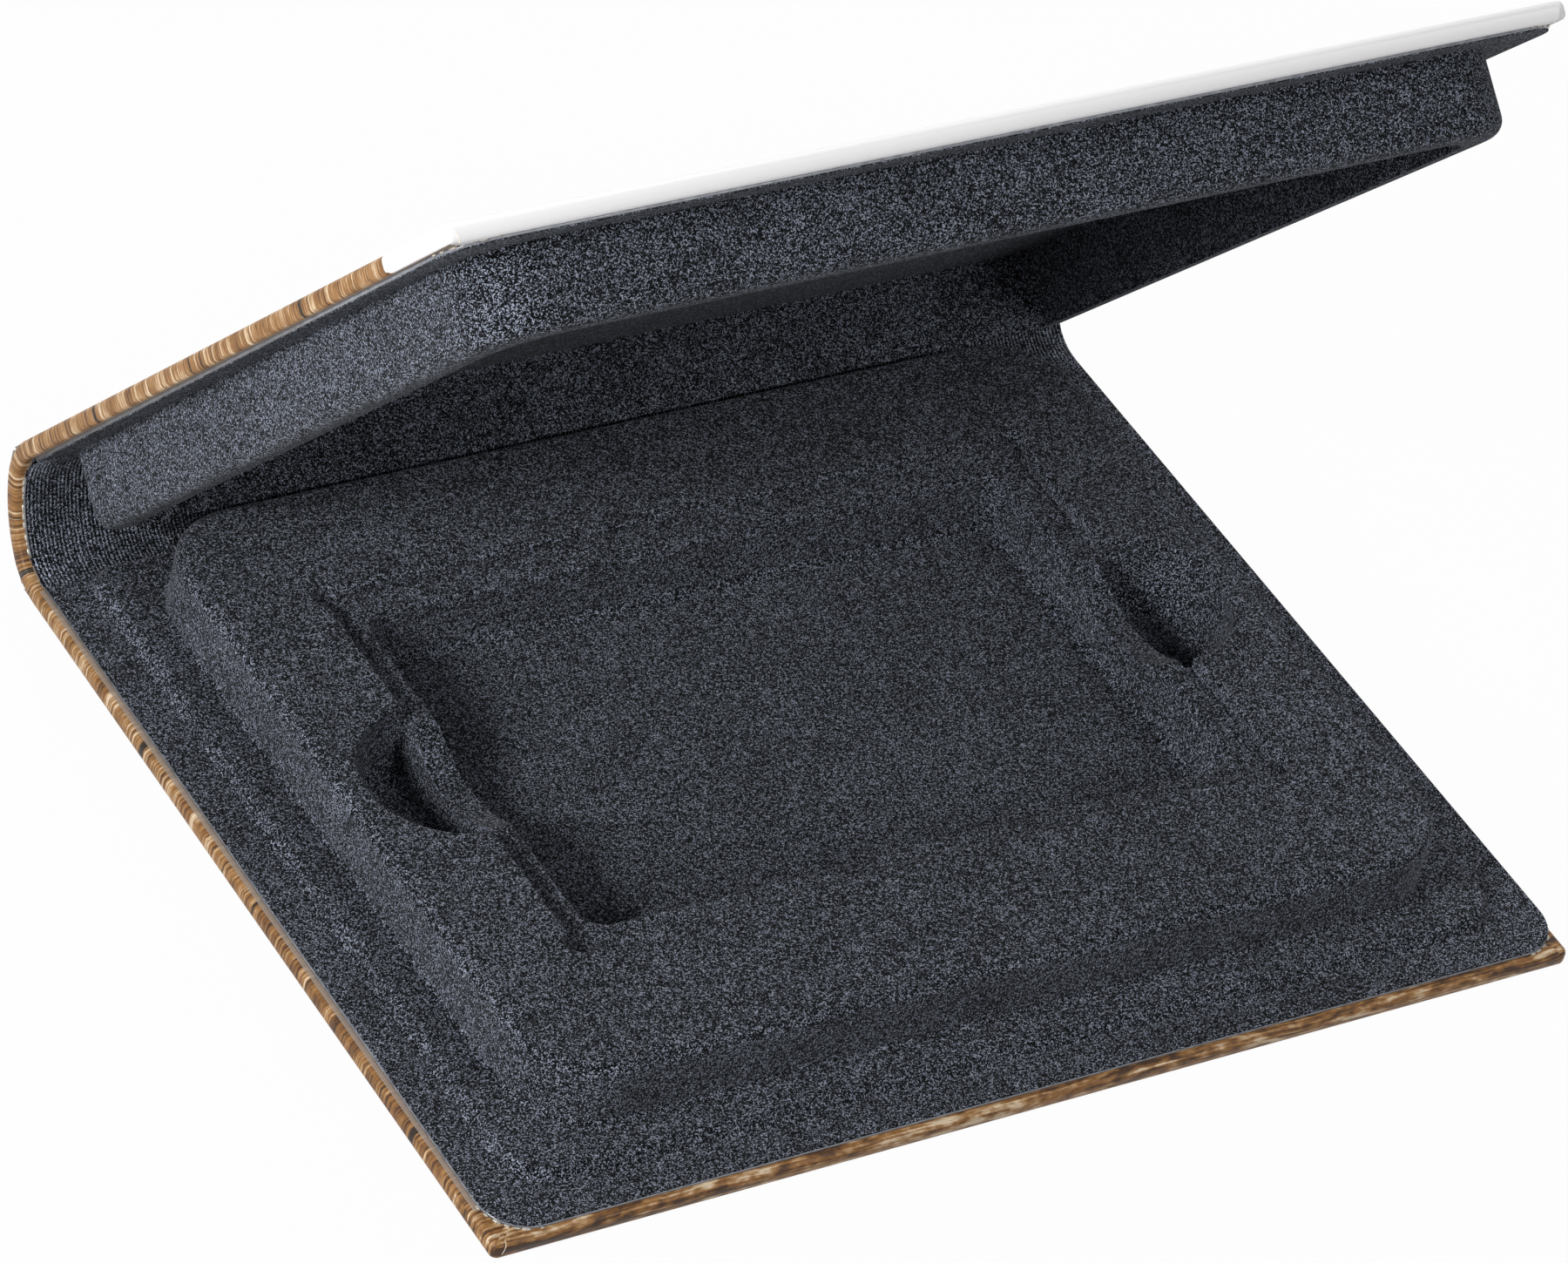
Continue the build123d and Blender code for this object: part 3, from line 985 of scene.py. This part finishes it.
@dataclass
class Liner(Maker):
    """The flocked liner: the CAD's formed sheet with its finish, its cut edge and its webs over the folds."""

    nodes: Dict[str, Piece]
    web_thickness: float = 0.3 * MM
    web_lift: float = 0.06 * MM
    web_spans: int = 40
    edge_height: float = 0.36 * MM
    edge_proud: float = 0.06 * MM
    corner_segments: int = 10

    def dress_sheets(self) -> None:
        """Give the formed sheet's nodes their flock."""
        for name in ("base_margin", "base_plinth", "lid_margin", "lid_floor", "lid_rim"):
            paint(self.nodes[name], self.finishes.flock)
        paint(self.nodes["spine_lining"], self.finishes.rowed_flock)

    def web(self, body: Body) -> Piece:
        """Make the liner's web over one fold.

        Args:
            body: The panel that the fold joins to the spine.

        Returns:
            The piece.
        """
        sizes = self.sizes
        xs = [sizes.liner_shift + sizes.liner_half * (2 * index / self.web_spans - 1)
              for index in range(self.web_spans + 1)]
        depth = sizes.cover + sizes.sheet + self.web_lift
        path = self.layout.fold_path(body)
        mesh = sweep_strip([(x, depth) for x in xs], xs, path, -self.web_thickness)
        item = finish_mesh(mesh, f"{body.value}_fold_lining", self.finishes.rowed_flock)
        return attach(item, body, fold=path)

    def cut_edge(self, body: Body) -> Piece:
        """Make the bare cut edge of the plastic sheet round a tray's sides and front.

        Args:
            body: The base or the lid.

        Returns:
            The piece.
        """
        sizes = self.sizes
        reach = sizes.liner_half + self.edge_proud
        low, high = sizes.fold_reach, sizes.depth - sizes.front_margin(body) + self.edge_proud
        middle = (sizes.liner_shift, (high + low) / 2, sizes.cover + TOUCH)
        mesh = bmesh.new()
        bmesh.ops.create_grid(mesh, x_segments=1, y_segments=1, size=0.5)
        bmesh.ops.scale(mesh, vec=(2 * reach, high - low, 1.0), verts=mesh.verts)
        bmesh.ops.translate(mesh, vec=middle, verts=mesh.verts)
        fronts = [vertex for vertex in mesh.verts if vertex.co.y > low + MM]
        bevel(mesh, fronts, sizes.flange_radius + self.edge_proud, self.corner_segments, "VERTICES")
        back = [edge for edge in mesh.edges if all(vertex.co.y < low + MM for vertex in edge.verts)
                and abs(edge.verts[0].co.x - edge.verts[1].co.x) > MM]
        bmesh.ops.delete(mesh, geom=back, context="EDGES")
        made = bmesh.ops.extrude_edge_only(mesh, edges=list(mesh.edges))["geom"]
        raised = [item for item in made if isinstance(item, bmesh.types.BMVert)]
        bmesh.ops.translate(mesh, vec=(0.0, 0.0, self.edge_height), verts=raised)
        bmesh.ops.recalc_face_normals(mesh, faces=mesh.faces)
        front = max(mesh.faces, key=lambda face: face.calc_center_median().y)
        if front.normal.y < 0:
            bmesh.ops.reverse_faces(mesh, faces=mesh.faces)
        place_sheet(mesh, self.layout, body)
        bmesh.ops.solidify(mesh, geom=list(mesh.faces), thickness=self.edge_proud)
        item = finish_mesh(mesh, f"{body.value}_liner_cut_edge", self.finishes.sheet_edge)
        return attach(item, body)

    def spine_cut_edge(self, side: Side) -> Piece:
        """Make the bare cut edge of the sheet at one end of the spine.

        Args:
            side: The end.

        Returns:
            The piece.
        """
        sizes = self.sizes
        x = sizes.liner_shift + side.value * sizes.liner_half
        out = x + side.value * self.edge_proud
        low = sizes.cover + 2 * TOUCH
        high = low + self.edge_height
        section = [(x, low), (out, low), (out, high), (x, high)]
        if side is Side.RIGHT:
            section.reverse()
        mesh = sweep_bar(section, self.layout.spine_path())
        name = f"spine_liner_cut_edge_{side.name.lower()}"
        item = finish_mesh(mesh, name, self.finishes.sheet_edge, smooth=False)
        return attach(item, Body.SPINE)

    def dress(self) -> List[Piece]:
        """Make every piece of the liner, and give the CAD's formed sheet its finish.

        Returns:
            The pieces.
        """
        self.dress_sheets()
        pieces = [make(body) for make in (self.web, self.cut_edge) for body in PANELS]
        return pieces + [self.spine_cut_edge(side) for side in Side]


@dataclass
class GlueBeads(Maker):
    """Clear glue that was squeezed out from under the liner's edge in small beads."""

    seed: int = 11
    size: float = 0.2 * MM
    stretch: Triple = (2.2, 0.9, 0.8)
    corner_lift: float = 0.08 * MM
    corner_proud: float = 0.12 * MM
    spine_lift: float = 0.12 * MM
    spine_proud: float = 0.1 * MM
    corner_count: int = 7
    spine_count: int = 9

    def bead(self, mesh: Shell, place: Vector, along: Vector, up: Vector, size: float) -> None:
        """Add one flattened bead, drawn out along the liner's edge.

        Args:
            mesh: The mesh that takes it.
            place: Its middle.
            along: Direction of the edge.
            up: Direction away from what it sits on.
            size: Its half height.
        """
        ways = (along, along.cross(up), up)
        shape = Matrix([way * share * size for way, share in zip(ways, self.stretch)]).transposed().to_4x4()
        bmesh.ops.create_icosphere(mesh, subdivisions=2, radius=1.0, matrix=Matrix.Translation(place) @ shape)

    def finish(self, mesh: Shell, name: str, body: Body) -> Piece:
        """Close a run of beads as a piece on a body."""
        bmesh.ops.recalc_face_normals(mesh, faces=mesh.faces)
        return attach(finish_mesh(mesh, name, self.finishes.clear_glue), body)

    def round_corner(self, body: Body, side: Side) -> Piece:
        """Make the beads under the liner's rounded corner.

        Args:
            body: The base or the lid.
            side: The corner's side.

        Returns:
            The piece.
        """
        sizes, draw = self.sizes, random.Random(self.seed + side.value)
        radius = sizes.flange_radius
        centre = Vector((
            sizes.liner_shift + side.value * (sizes.liner_half - radius),
            sizes.depth - sizes.front_margin(body) - radius,
            sizes.cover + self.corner_lift))
        matrix = self.layout.matrix(body)
        turned = matrix.to_3x3()
        mesh = bmesh.new()
        for index in range(self.corner_count):
            turn = math.radians(90 * (index + draw.uniform(0.2, 0.8)) / self.corner_count)
            out = Vector((side.value * math.cos(turn), math.sin(turn), 0.0))
            along = Vector((-side.value * math.sin(turn), math.cos(turn), 0.0))
            size = self.size * draw.uniform(0.6, 1.2)
            place = centre + out * (radius + self.corner_proud)
            self.bead(mesh, matrix @ place, turned @ along, turned @ Vector((0.0, 0.0, 1.0)), size)
        return self.finish(mesh, f"{body.value}_glue_{side.name.lower()}_corner", body)

    def up_spine(self, side: Side) -> Piece:
        """Make the beads up one end of the spine's lining.

        Args:
            side: The end.

        Returns:
            The piece.
        """
        sizes, draw = self.sizes, random.Random(self.seed + 5 * side.value)
        x = sizes.liner_shift + side.value * (sizes.liner_half + self.spine_proud)
        mesh = bmesh.new()
        for index in range(self.spine_count):
            share = (index + draw.uniform(0.2, 0.8)) / self.spine_count
            place, inward, _ = self.layout.spine_station(sizes.fold_reach + share * sizes.spine_span)
            size = self.size * draw.uniform(0.5, 1.1)
            middle = place + inward * (sizes.cover + self.spine_lift) + ACROSS * x
            self.bead(mesh, middle, ACROSS.cross(inward), inward, size)
        return self.finish(mesh, f"spine_glue_{side.name.lower()}", Body.SPINE)

    def dress(self) -> List[Piece]:
        """Make every run of beads."""
        pieces = [self.round_corner(body, side) for body in PANELS for side in Side]
        return pieces + [self.up_spine(side) for side in Side]


@dataclass(frozen=True)
class Lamp:
    """A square soft lamp: its place, the length of its side and its power in watts."""

    name: str
    place: Triple
    size: float
    power: float

    def hang(self) -> None:
        """Add the lamp, aimed at the case."""
        data = bpy.data.lights.new(self.name, "AREA")
        data.size, data.energy = self.size, self.power
        item = link_object(self.name, data)
        item.location = self.place
        aim = Vector((0.0, 0.0, 0.02)) - Vector(self.place)
        item.rotation_euler = aim.to_track_quat("-Z", "Y").to_euler()


@dataclass
class Studio:
    """Floor, lamps and the photograph's camera."""

    lens: float = 183.77
    sensor: float = 36.0
    place: Triple = (-0.41882, -0.47768, 0.54395)
    right: Triple = (0.8409, -0.5004, 0.2059)
    forward: Triple = (0.5033, 0.5836, -0.6373)
    room_light: float = 0.15
    floor_whiteness: float = 0.975
    floor_shades: Tuple[float, float] = (0.48, 0.52)
    floor_drop: float = 0.05 * MM
    lamps: Tuple[Lamp, ...] = (
        Lamp("left_softbox", (-0.45, -0.085, 0.24), 0.12, 2.0),
        Lamp("front_softbox", (0.25, -0.62, 0.57), 0.3, 1.8),
        Lamp("back_softbox", (0.15, 0.72, 0.75), 0.6, 6.0))

    def camera(self) -> None:
        """Set up the camera as fitted to the photograph's edges."""
        data = bpy.data.cameras.new("camera")
        data.lens, data.sensor_width = self.lens, self.sensor
        data.clip_start, data.clip_end = 0.01, 20.0
        item = link_object("camera", data)
        back = -Vector(self.forward).normalized()
        right = Vector(self.right)
        right = (right - back * right.dot(back)).normalized()
        turn = Matrix((right, back.cross(right), back)).transposed().to_4x4()
        item.matrix_world = Matrix.Translation(self.place) @ turn
        bpy.context.scene.camera = item

    def seen_directly(self, nodes: Nodes) -> object:
        """Tell the camera's, mirrored and see-through views from the light that the case receives.

        Args:
            nodes: The nodes of the floor or the world.

        Returns:
            The socket, 1 for a view and 0 for light.
        """
        path = nodes.add("LightPath").outputs
        seen = nodes.math("MAXIMUM", path["Is Camera Ray"], path["Is Glossy Ray"])
        return nodes.math("MAXIMUM", seen, path["Is Transmission Ray"])

    def white_backdrop(self) -> None:
        """Light the room evenly, and show white to the camera and in reflections."""
        nodes = Nodes(bpy.data.worlds.new("studio"))
        strength = nodes.add("MapRange", {
            "Value": self.seen_directly(nodes), "To Min": self.room_light, "To Max": 1.0})
        bpy.context.scene.world = nodes.finish("Background", {
            "Strength": strength.outputs["Result"], "Color": WHITE})

    def floor(self) -> None:
        """Lay a plain pale floor that is seen almost white, with a light shadow of the case."""
        mesh = bmesh.new()
        bmesh.ops.create_grid(mesh, x_segments=4, y_segments=4, size=3.0)
        bmesh.ops.translate(mesh, vec=(0.0, 0.0, -self.floor_drop), verts=mesh.verts)
        nodes = Nodes(bpy.data.materials.new("pale_floor"))
        place = nodes.add("TexCoord").outputs["Object"]
        dark, pale = self.floor_shades
        colour = nodes.ramp(nodes.noise(place, 40.0), ((0.3, (dark, dark, dark)), (0.7, (pale, pale, pale))))
        nodes.finish(SHADER, {"Base Color": colour, "Roughness": 0.9})
        white = nodes.add("Emission", {"Color": WHITE, "Strength": 1.0}).outputs[0]
        share = nodes.math("MULTIPLY", self.seen_directly(nodes), self.floor_whiteness)
        shader = nodes.tree.nodes[SHADER].outputs[0]
        both = nodes.add("MixShader", {0: share, 1: shader, 2: white})
        pale_floor = nodes.finish("Material Output", {"Surface": both.outputs[0]})
        finish_mesh(mesh, "floor", pale_floor)

    def set_up(self) -> None:
        """Make the whole studio."""
        self.camera()
        self.white_backdrop()
        self.floor()
        for lamp in self.lamps:
            lamp.hang()
        bpy.context.scene.view_settings.view_transform = "Standard"


def main() -> None:
    """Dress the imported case."""
    logging.basicConfig(level=logging.INFO, format="%(name)s: %(message)s")
    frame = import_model()
    nodes = frame["nodes"]
    sizes = Sizes()
    Studio().set_up()
    finishes = Finishes(sizes)
    for body in Body:
        paint(nodes[f"{body.value}_board"], finishes.board)
        paint(nodes[f"{body.value}_adhesive"], finishes.glue)
    kit = (sizes, Layout(sizes, frame["joints"]), finishes)
    covers = [Cover(*kit, body) for body in PANELS]
    for maker in (*covers, Spine(*kit), Liner(*kit, nodes), GlueBeads(*kit)):
        for piece in maker.dress():
            LOG.info("%s: %d faces", piece.name, len(piece.data.polygons))


if __name__ == "__main__":
    main()
